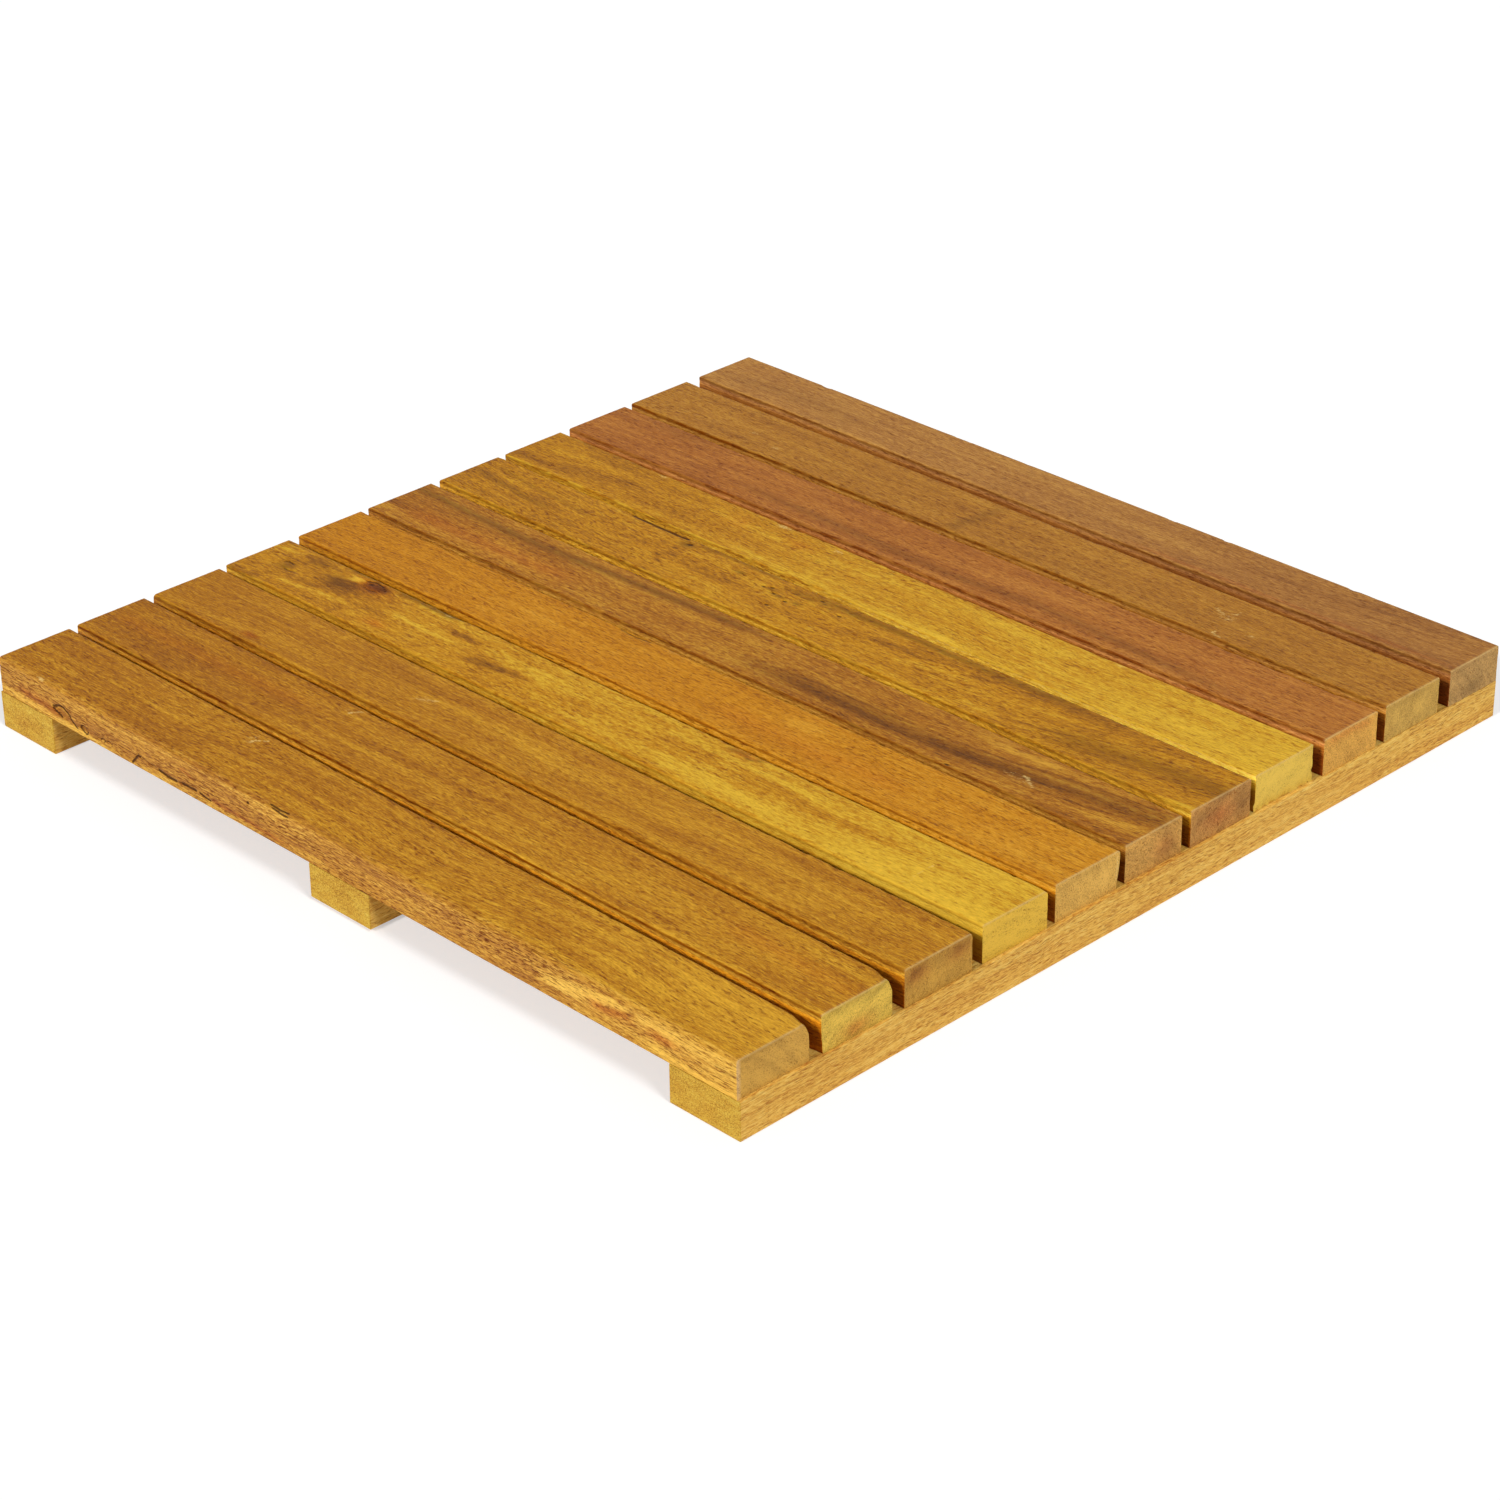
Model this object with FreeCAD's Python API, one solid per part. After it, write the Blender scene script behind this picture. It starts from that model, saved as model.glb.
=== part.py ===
import FreeCAD, Part
import math
import os

# Slatted deck tile: eleven hardwood slats screwed down onto three battens.
# X runs along the slats, Y across them and Z is up. The origin is under the
# middle of the tile, on the surface that it stands on. All sizes are in mm.

# Slats
SLAT_COUNT = 11
TILE_LENGTH = 500.0
SLAT_WIDTH = 41.0
SLAT_GAP = 4.9
SLAT_THICKNESS = 19.0
END_BEVEL = 0.6
BOTTOM_BEVEL = 0.5

# Battens
BATTEN_WIDTH = 40.5
BATTEN_THICKNESS = 19.0
MIDDLE_BATTEN_THICKNESS = 17.5
MIDDLE_BATTEN_OFFSET = 1.0
BATTEN_EASE = 0.8

# Screws, with a cross recess in a countersunk head
SCREW_HEAD_DIAMETER = 8.0
SCREW_SHANK_DIAMETER = 4.0
SCREW_RIM = 0.4
SCREW_LENGTH = 30.0
SCREW_POINT_LENGTH = 5.0
SCREW_HEAD_DEPTH = 1.2
HEAD_ANGLE = 90.0
RECESS_SPAN = 4.4
RECESS_WIDTH = 1.0
RECESS_DEPTH = 1.6
HOLE_CLEARANCE = 0.1
SCREW_SIDES = 12

# How each slat lies, as departures from an even layout: how far its front and
# back edges are moved at the left end, then at the right end, how far it stops
# short of the tile's left and right sides, and the radii of its front and back
# top edges.
SLAT_LAY = (
    (0.0, 0.7, 0.0, -0.25, 1.0, 1.5, 2.0, 2.0),
    (-0.15, -0.3, 1.45, 1.65, 0.4, 1.2, 1.6, 2.0),
    (-1.1, -1.1, 3.7, 3.65, 0.8, 0.9, 1.6, 1.2),
    (-1.7, -2.0, 5.6, 5.3, 0.0, 1.6, 1.4, 2.0),
    (-1.9, -1.6, 5.6, 6.25, 0.0, 1.9, 1.4, 2.0),
    (-2.7, -1.2, 5.3, 2.1, 0.0, 2.3, 1.2, 1.4),
    (-1.4, -1.4, 2.35, 2.5, 0.4, 1.6, 1.2, 1.2),
    (-2.2, -3.9, 0.8, 1.1, 0.4, 1.4, 1.0, 1.2),
    (-3.0, -3.6, 2.25, 0.2, 0.4, 0.5, 1.4, 1.2),
    (-3.7, -3.6, 1.2, 0.5, 0.1, 0.3, 1.4, 1.0),
    (0.7, -2.0, 3.7, 0.0, 0.2, 0.0, 1.2, 1.2),
)

# Broken places at the right-hand ends: how far each reaches in along the slat,
# across it and up or down it.
CHIP_LENGTH = 9.0
CHIP_ACROSS = 1.0
CHIP_HEIGHT = 12.0
TEAR_LENGTH = 5.0
TEAR_ACROSS = 2.2
TEAR_HEIGHT = 12.0

# Bark pockets in the front side of the first slat: distance from its left end,
# height above its underside, length, height, depth and tilt in degrees.
BARK_POCKETS = (
    (48.0, 6.6, 17.0, 4.2, 1.2, -13.0),
    (65.0, 4.4, 8.0, 3.0, 0.9, -12.0),
)
POCKET_SIDES = 8
# A cut for a broken place is made this much larger, so that it leaves no skin.
CUT_OVERSIZE = 1.02

SLAT_PITCH = SLAT_WIDTH + SLAT_GAP
TILE_WIDTH = SLAT_PITCH * (SLAT_COUNT - 1) + SLAT_WIDTH
DECK_UNDERSIDE = BATTEN_THICKNESS
DECK_TOP = BATTEN_THICKNESS + SLAT_THICKNESS
LEFT = -TILE_LENGTH / 2
RIGHT = TILE_LENGTH / 2
FRONT = -TILE_WIDTH / 2

BATTENS = {
    "batten_left": (LEFT + BATTEN_WIDTH / 2, BATTEN_THICKNESS),
    "batten_middle": (MIDDLE_BATTEN_OFFSET, MIDDLE_BATTEN_THICKNESS),
    "batten_right": (RIGHT - BATTEN_WIDTH / 2, BATTEN_THICKNESS),
}


class Slat:
    """One slat's place, worked out from the even layout and its lay."""

    def __init__(self, index):
        lay = SLAT_LAY[index]
        front = FRONT + index * SLAT_PITCH
        back = front + SLAT_WIDTH
        self.index = index
        self.name = f"slat_{index + 1:02d}"
        self.left = LEFT + lay[4]
        self.right = RIGHT - lay[5]
        self.front_left = front + lay[0]
        self.back_left = back + lay[1]
        self.front_right = front + lay[2]
        self.back_right = back + lay[3]
        self.front_radius = lay[6]
        self.back_radius = lay[7]

    def centre_line(self, x):
        """The Y of the slat's centre line at a place along it."""
        share = (x - self.left) / (self.right - self.left)
        left = (self.front_left + self.back_left) / 2
        right = (self.front_right + self.back_right) / 2
        return left + share * (right - left)


def prism(points, z, height):
    """A straight prism on the given plan outline."""
    corners = [FreeCAD.Vector(x, y, z) for x, y in points]
    wire = Part.makePolygon(corners + corners[:1])
    return Part.Face(wire).extrude(FreeCAD.Vector(0, 0, height))


def long_edges(shape, z, side):
    """The lengthwise edges at height z, on the front (-1) or the back (+1)."""
    centre = shape.BoundBox.Center
    found = []
    for edge in shape.Edges:
        box = edge.BoundBox
        level = abs(box.ZMin - z) < 1e-6 and abs(box.ZMax - z) < 1e-6
        if level and box.XLength > box.YLength and (box.Center.y - centre.y) * side > 0:
            found.append(edge)
    return found


def end_edges(shape, z):
    """The edges across both ends at height z."""
    found = []
    for edge in shape.Edges:
        box = edge.BoundBox
        level = abs(box.ZMin - z) < 1e-6 and abs(box.ZMax - z) < 1e-6
        if level and box.YLength > box.XLength:
            found.append(edge)
    return found


def screw_places(slat):
    """Where the screws of one slat stand: the centre of each crossing."""
    return [(x, slat.centre_line(x), thickness) for x, thickness in BATTENS.values()]


def screw_seat(thickness):
    """Height of a screw head's face, for a batten of the given thickness."""
    return BATTEN_THICKNESS - thickness + SCREW_HEAD_DEPTH


def screw_outline(extra):
    """Half section of a screw, point up, as radius and height from the head's face."""
    head = SCREW_HEAD_DIAMETER / 2
    shank = SCREW_SHANK_DIAMETER / 2 + extra
    cone = (head - shank) / math.tan(math.radians(HEAD_ANGLE / 2))
    return (
        (head, 0),
        (head, SCREW_RIM),
        (shank, SCREW_RIM + cone),
        (shank, SCREW_LENGTH - SCREW_POINT_LENGTH),
        (0, SCREW_LENGTH + extra),
    )


def polygon(points):
    """A flat face with the given corners."""
    return Part.Face(Part.makePolygon(points + points[:1]))


def ringed_solid(rings):
    """A closed solid through rings of corners, where a ring of one corner is a tip."""
    faces = [polygon(ring) for ring in (rings[0], rings[-1]) if len(ring) > 1]
    for low, high in zip(rings, rings[1:]):
        for i in range(len(low)):
            j = (i + 1) % len(low)
            upper = [high[0]] if len(high) == 1 else [high[j], high[i]]
            faces.append(polygon([low[i], low[j]] + upper))
    solid = Part.makeSolid(Part.makeShell(faces))
    if solid.Volume < 0:
        solid.reverse()
    return solid


def turned(outline, x, y, z):
    """A many-sided solid about a vertical line through x, y, based at z."""
    rings = []
    for radius, height in outline:
        ring = []
        for step in range(SCREW_SIDES):
            angle = 2 * math.pi * (step + 0.5) / SCREW_SIDES
            across = FreeCAD.Vector(math.cos(angle), math.sin(angle), 0) * radius
            ring.append(across + FreeCAD.Vector(x, y, z + height))
        rings.append(ring if radius > 0 else ring[:1])
    return ringed_solid(rings)


def make_screw(x, y, z):
    """A countersunk screw, point up, with a cross recess in its head."""
    screw = turned(screw_outline(0), x, y, z)
    slot = Part.makeBox(RECESS_SPAN, RECESS_WIDTH, RECESS_DEPTH)
    slot.translate(FreeCAD.Vector(-RECESS_SPAN / 2, -RECESS_WIDTH / 2, 0))
    cross_slot = slot.copy()
    cross_slot.rotate(FreeCAD.Vector(0, 0, 0), FreeCAD.Vector(0, 0, 1), 90)
    recess = slot.fuse(cross_slot)
    recess.translate(FreeCAD.Vector(x, y, z))
    return screw.cut(recess)


def screw_hole(x, y, thickness):
    """The hole for one screw, with its countersink and the way in from below."""
    seat = screw_seat(thickness)
    hole = turned(screw_outline(HOLE_CLEARANCE), x, y, seat)
    head = SCREW_HEAD_DIAMETER / 2
    entry = turned(((head, -seat - 1), (head, 0)), x, y, seat)
    return hole.fuse(entry).removeSplitter()


def chip(slat):
    """A thin splinter gone from the front side, low down at the slat's right end."""
    tip = FreeCAD.Vector(slat.right - CHIP_LENGTH, slat.front_right, DECK_UNDERSIDE)
    corner = FreeCAD.Vector(slat.right, slat.front_right, DECK_UNDERSIDE)
    inner = corner + FreeCAD.Vector(0, CHIP_ACROSS, 0)
    upper = corner + FreeCAD.Vector(0, 0, CHIP_HEIGHT)
    return tetrahedron(corner, tip, inner, upper)


def tear(slat):
    """A torn strip gone from the lower back corner at the slat's right end."""
    corner = FreeCAD.Vector(slat.right, slat.back_right, DECK_UNDERSIDE)
    tip = corner + FreeCAD.Vector(-TEAR_LENGTH, 0, 0)
    inner = corner + FreeCAD.Vector(0, -TEAR_ACROSS, 0)
    upper = corner + FreeCAD.Vector(0, 0, TEAR_HEIGHT)
    return tetrahedron(corner, tip, inner, upper)


def tetrahedron(a, b, c, d):
    """The solid with four corners, pushed out a little all round to cut cleanly."""
    centre = (a + b + c + d) * 0.25
    corners = [centre + (p - centre) * CUT_OVERSIZE for p in (a, b, c, d)]
    return ringed_solid([corners[:3], corners[3:]])


def bark_pocket(slat, pocket):
    """A long hollow with sloping sides in the slat's front side."""
    along, height, length, tall, depth, tilt = pocket
    rings = []
    for size, inward in ((CUT_OVERSIZE, -depth * 0.1), (0.5, depth)):
        ring = []
        for step in range(POCKET_SIDES):
            angle = 2 * math.pi * step / POCKET_SIDES
            u = math.cos(angle) * length / 2 * size
            w = math.sin(angle) * tall / 2 * size
            lean = math.radians(tilt)
            x = slat.left + along + u * math.cos(lean) - w * math.sin(lean)
            z = DECK_UNDERSIDE + height + u * math.sin(lean) + w * math.cos(lean)
            ring.append(FreeCAD.Vector(x, slat.front_left + inward, z))
        rings.append(ring)
    return ringed_solid(rings)


def make_slat(index):
    """A slat with eased edges, its screw holes and its broken places."""
    slat = Slat(index)
    outline = (
        (slat.left, slat.front_left),
        (slat.right, slat.front_right),
        (slat.right, slat.back_right),
        (slat.left, slat.back_left),
    )
    body = prism(outline, DECK_UNDERSIDE, SLAT_THICKNESS)
    body = body.makeChamfer(END_BEVEL, end_edges(body, DECK_TOP))
    body = body.makeFillet(slat.front_radius, long_edges(body, DECK_TOP, -1))
    body = body.makeFillet(slat.back_radius, long_edges(body, DECK_TOP, 1))
    below = long_edges(body, DECK_UNDERSIDE, -1) + long_edges(body, DECK_UNDERSIDE, 1)
    body = body.makeChamfer(BOTTOM_BEVEL, below)
    for x, y, thickness in screw_places(slat):
        body = body.cut(screw_hole(x, y, thickness))
    if slat.name == "slat_01":
        for pocket in BARK_POCKETS:
            body = body.cut(bark_pocket(slat, pocket))
    if slat.name == "slat_02":
        body = body.cut(chip(slat))
    if slat.name == "slat_05":
        body = body.cut(tear(slat))
    return body


def make_batten(name, slats):
    """A batten the width of the tile, with a countersunk hole under each slat."""
    x, thickness = BATTENS[name]
    front_left = x - BATTEN_WIDTH / 2
    base = BATTEN_THICKNESS - thickness
    body = Part.makeBox(BATTEN_WIDTH, TILE_WIDTH, thickness, FreeCAD.Vector(front_left, FRONT, base))
    low = [e for e in body.Edges if abs(e.BoundBox.ZMax - base) < 1e-6]
    body = body.makeFillet(BATTEN_EASE, low)
    for slat in slats:
        body = body.cut(screw_hole(x, slat.centre_line(x), thickness))
    return body


def make_screws(slats):
    """All the screws, as separate solids."""
    screws = []
    for slat in slats:
        for x, y, thickness in screw_places(slat):
            screws.append(make_screw(x, y, screw_seat(thickness)))
    return Part.makeCompound(screws)


def write(name, shape):
    """Write one piece and print what it came out as."""
    shape.exportStep(os.path.join("parts", f"{name}.step"))
    print(name, "solids", len(shape.Solids), "valid", shape.isValid(), "volume", round(shape.Volume, 1))


def main():
    os.makedirs("parts", exist_ok=True)
    slats = [Slat(index) for index in range(SLAT_COUNT)]
    for slat in slats:
        write(slat.name, make_slat(slat.index))
    for name in BATTENS:
        write(name, make_batten(name, slats))
    write("slat_screws", make_screws(slats))


main()
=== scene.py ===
import math

import bpy
import numpy as np
from mathutils import Matrix, Vector


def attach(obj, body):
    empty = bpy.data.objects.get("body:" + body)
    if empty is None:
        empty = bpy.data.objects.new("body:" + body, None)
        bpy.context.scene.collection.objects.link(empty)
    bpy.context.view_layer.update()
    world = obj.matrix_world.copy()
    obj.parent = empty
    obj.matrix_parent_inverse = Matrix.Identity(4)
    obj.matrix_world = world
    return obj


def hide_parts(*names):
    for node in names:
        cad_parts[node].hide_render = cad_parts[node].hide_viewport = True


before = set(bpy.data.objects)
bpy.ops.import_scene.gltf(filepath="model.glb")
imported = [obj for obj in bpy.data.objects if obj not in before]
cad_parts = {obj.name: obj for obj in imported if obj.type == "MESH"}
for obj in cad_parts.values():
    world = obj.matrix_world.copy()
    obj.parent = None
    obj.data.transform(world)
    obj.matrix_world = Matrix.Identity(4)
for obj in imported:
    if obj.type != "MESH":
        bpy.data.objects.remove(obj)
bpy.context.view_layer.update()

# The scene is in metres. Places on a board are in millimetres: u along it from its
# left end, v across it from its front edge, w up from its underside.
MM = 0.001

# Camera, fitted to the photograph: turn, tilt and roll in degrees, places in metres
IMAGE_SIZE = 1500
SENSOR = 36
CAMERA_AZIMUTH = 45.786
CAMERA_ELEVATION = 28.691
CAMERA_ROLL = -0.76
CAMERA_DISTANCE = 1.82288
CAMERA_TARGET = (0.04597, -0.04325, 0.019)
FOCAL_LENGTH_PIXELS = 3970.7

# Lamps and floor. Two soft lamps stand left and right of the camera, each given as
# its turn, tilt, softness in degrees and strength.
LAMPS = {
    "left_lamp": (2, 34.5, 5, 1.92),
    "right_lamp": (80, 44.2, 16, 1.69),
}
SKY_STRENGTH = 0.22
FLOOR_SIZE = 8
FLOOR_COLOUR = (0.97, 0.97, 0.97, 1)
FLOOR_SEEN = (0.6, 0.6, 0.6, 1)
FLOOR_WHITENING = 0.46

# How finely the slats are divided
STEPS = (1.8, 0.9, 2.2)
FINE_STEPS = {"slat_01": (1.6, 1.1, 0.55)}
CRACKED = (36, 222, 0.6)
SIDE_ROWS = (2.5, 3.1, 3.8, 4.6)
END_BEVEL = 0.6
BOTTOM_BEVEL = 0.5
SHARP_ANGLE = 50
BATTEN_FRONT = -0.2498

# Broken corners at the right-hand ends: how far each reaches along, across and up
CHIP = (9, 1, 12)
TEAR = (5, 2.2, 12)

# Bark pockets in slat_01's front, as in its solid: where each is along and up, its
# length, height and depth, and its tilt in degrees
BARK_POCKETS = (
    (48, 6.6, 17, 4.2, 1.2, -13),
    (65, 4.4, 8, 3.0, 0.9, -12),
)


# Marks on a board. Each has the channel that it changes and how much, and lies at
# one point, as an oval, or along several, as a band that fades out at its ends.

def spot(channel, amount, at, size, tilt=0):
    """An oval mark, with its half sizes along and across, and a tilt in degrees."""
    return channel, amount, (at,), size, tilt


def band(channel, amount, width, *points):
    """A streak through the points, with its half width."""
    return channel, amount, points, (width, width), 0


# The dark, middle and light colour of each kind of board
WOODS = {
    "amber": ("8a5018", "b4761c", "dba430"),
    "orange": ("965818", "c68017", "e0a333"),
    "gold": ("8c581a", "c2831b", "deb135"),
    "brown": ("6f431b", "a8681f", "cf9834"),
    "copper": ("854a20", "ab682b", "ca8a3c"),
    "tan": ("835222", "ae7329", "ca953b"),
    "dun": ("835229", "aa7338", "c99549"),
    "batten": ("a8662a", "dba84a", "ecca6e"),
}


class Look:
    """How one slat's wood looks: its colours, the run of its grain, its marks, and the light and shade painted on its
    sides in the gaps.
    """

    # The side settings paint light and shade on the sides in the gaps: a band of painted lamp light on the front
    # side, a lighter, redder painted fill in the shade below it, and painted shade from a given depth; the rim
    # setting darkens a band along the top of the front side.
    def __init__(self, wood, tone, cut, flow=((0, 0), (500, 0)), pith=(20, -70), pores=0.5, streaks=1.0,
                 arris=0.3, rim=(0.7, 0.7, 0.9), painted_lit_band=(0, 0, 1.1), amber=(1, 1), painted_gap_shade=(5, 0), warm=0,
                 top=(), front=(), end=()):
        self.wood = wood
        self.tone = tone
        self.cut = cut
        self.flow = flow
        self.pith = pith
        self.pores = pores
        self.streaks = streaks
        self.arris = arris
        self.rim = rim
        self.painted_lit_band = painted_lit_band
        self.amber = amber
        self.painted_gap_shade = painted_gap_shade
        self.warm = warm
        self.top = top
        self.front = front
        self.end = end


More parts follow.
